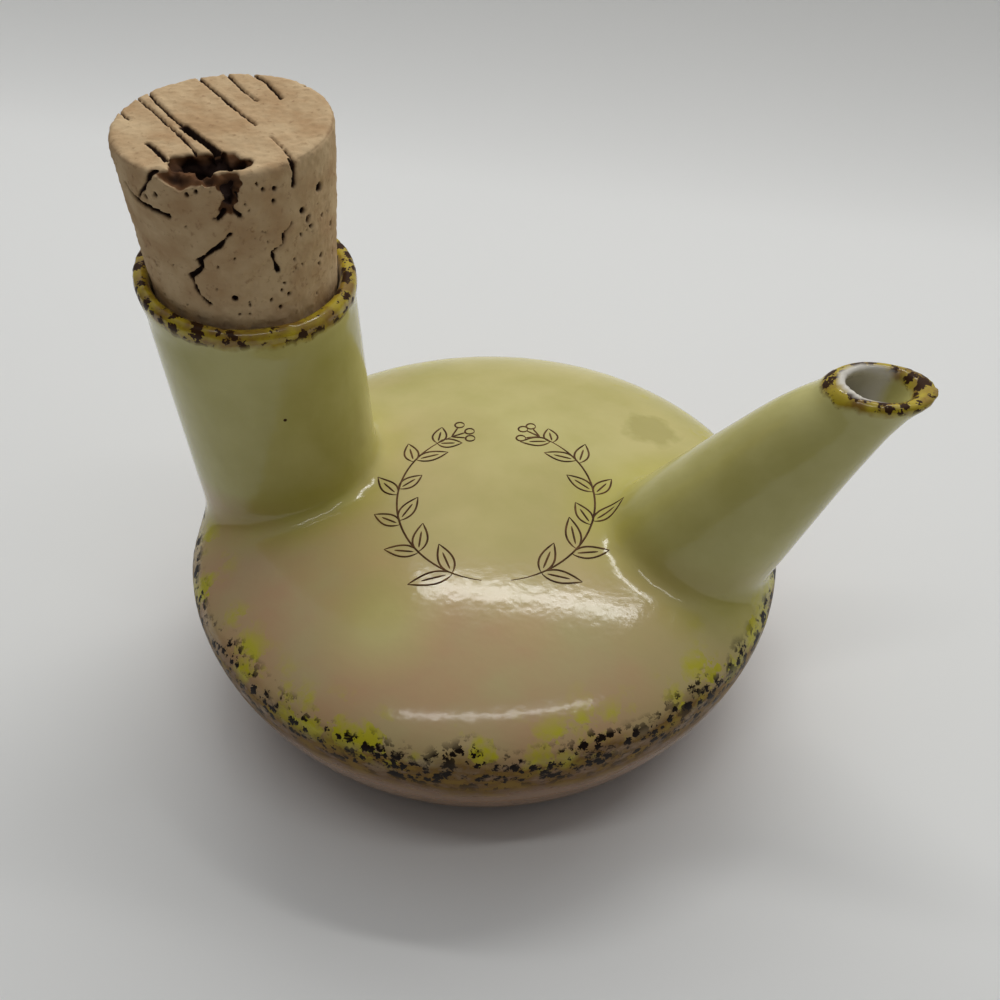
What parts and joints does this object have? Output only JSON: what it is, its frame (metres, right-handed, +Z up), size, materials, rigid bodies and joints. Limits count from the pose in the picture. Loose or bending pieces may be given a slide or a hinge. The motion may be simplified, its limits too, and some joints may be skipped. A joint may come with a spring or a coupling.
{
  "type": "soy sauce cruet",
  "caption": "Squat round glazed stoneware sauce pot with a tall corked filling neck on one side and a slim upward pouring spout on the other.",
  "frame": {"origin": "middle of the flat foot, on the surface that the cruet stands on", "axes": "+Z up along the body's axis; +X towards the pouring spout, with the filling neck on the -X side"},
  "size_m": [0.1263, 0.104, 0.1023],
  "materials": {
    "glaze": "glossy pale green glaze with tan washes and sponged yellow and brown bands",
    "cork": "raw natural cork, cut, with pits and cracks"
  },
  "bodies": {
    "root": {"vessel": "glaze", "cork": "cork"}
  },
  "joints": []
}
